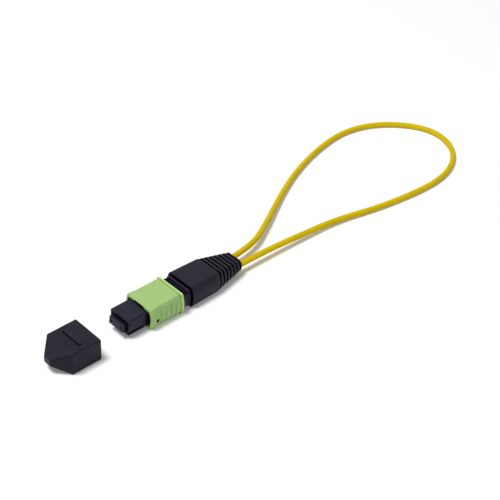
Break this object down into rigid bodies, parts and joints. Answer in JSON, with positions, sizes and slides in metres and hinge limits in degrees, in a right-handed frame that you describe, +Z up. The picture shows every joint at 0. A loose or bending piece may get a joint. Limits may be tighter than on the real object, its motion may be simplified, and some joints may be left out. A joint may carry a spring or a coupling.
{
  "type": "multi-fibre loopback plug",
  "caption": "Push-on multi-fibre loopback plug: keyed black nose, green pull-back sleeve, ribbed strain-relief boot, yellow cable looping back into the boot, and its dust cap taken off.",
  "frame": {"origin": "Centre of the ferrule's polished end face, on the plug's axis", "axes": "X along the plug from its nose to the cable loop, Y across the plug, Z up from the table"},
  "size_m": [0.1898, 0.0459, 0.008],
  "materials": {
    "black_plastic": "moulded, fine satin texture",
    "ferrule_resin": "glass-filled moulding resin, polished end face",
    "green_plastic": "moulded, satin",
    "boot_rubber": "moulded, soft matt",
    "yellow_jacket": "extruded cable jacket, satin",
    "fibre_glass": "polished fibre ends",
    "ribbon_coating": "clear coated fibre ribbon",
    "yarn": "aramid yarn",
    "crimp_metal": "plain crimped tube",
    "spring_steel": "drawn spring wire"
  },
  "bodies": {
    "plug": {"plug_housing": "black_plastic", "spring_push": "black_plastic", "strain_relief_boot": "boot_rubber", "crimp_ring": "crimp_metal", "aramid_yarn": "yarn", "fibre_ribbon": "ribbon_coating", "loop_cable": "yellow_jacket", "ferrule_spring": "spring_steel", "sleeve_spring_left": "spring_steel", "sleeve_spring_right": "spring_steel"},
    "ferrule": {"mt_ferrule": "ferrule_resin", "ferrule_fibres": "fibre_glass", "ferrule_boot": "boot_rubber", "pin_keeper": "black_plastic"},
    "sleeve": {"coupling_sleeve": "green_plastic"},
    "cap": {"dust_cap": "black_plastic"}
  },
  "joints": [
    {"name": "sleeve_slide", "type": "slide", "parent": "plug", "child": "sleeve", "axis": [1, 0, 0], "range_m": [0, 0.0018], "stiffness_N_per_m": 2500, "deforming": ["sleeve_spring_left", "sleeve_spring_right"]},
    {"name": "ferrule_slide", "type": "slide", "parent": "plug", "child": "ferrule", "axis": [1, 0, 0], "range_m": [0, 0.0008], "stiffness_N_per_m": 6000, "deforming": ["ferrule_spring", "fibre_ribbon"]},
    {"name": "cap_slide", "type": "slide", "parent": "plug", "child": "cap", "axis": [1, 0, 0], "range_m": [0, 0.0188]}
  ]
}
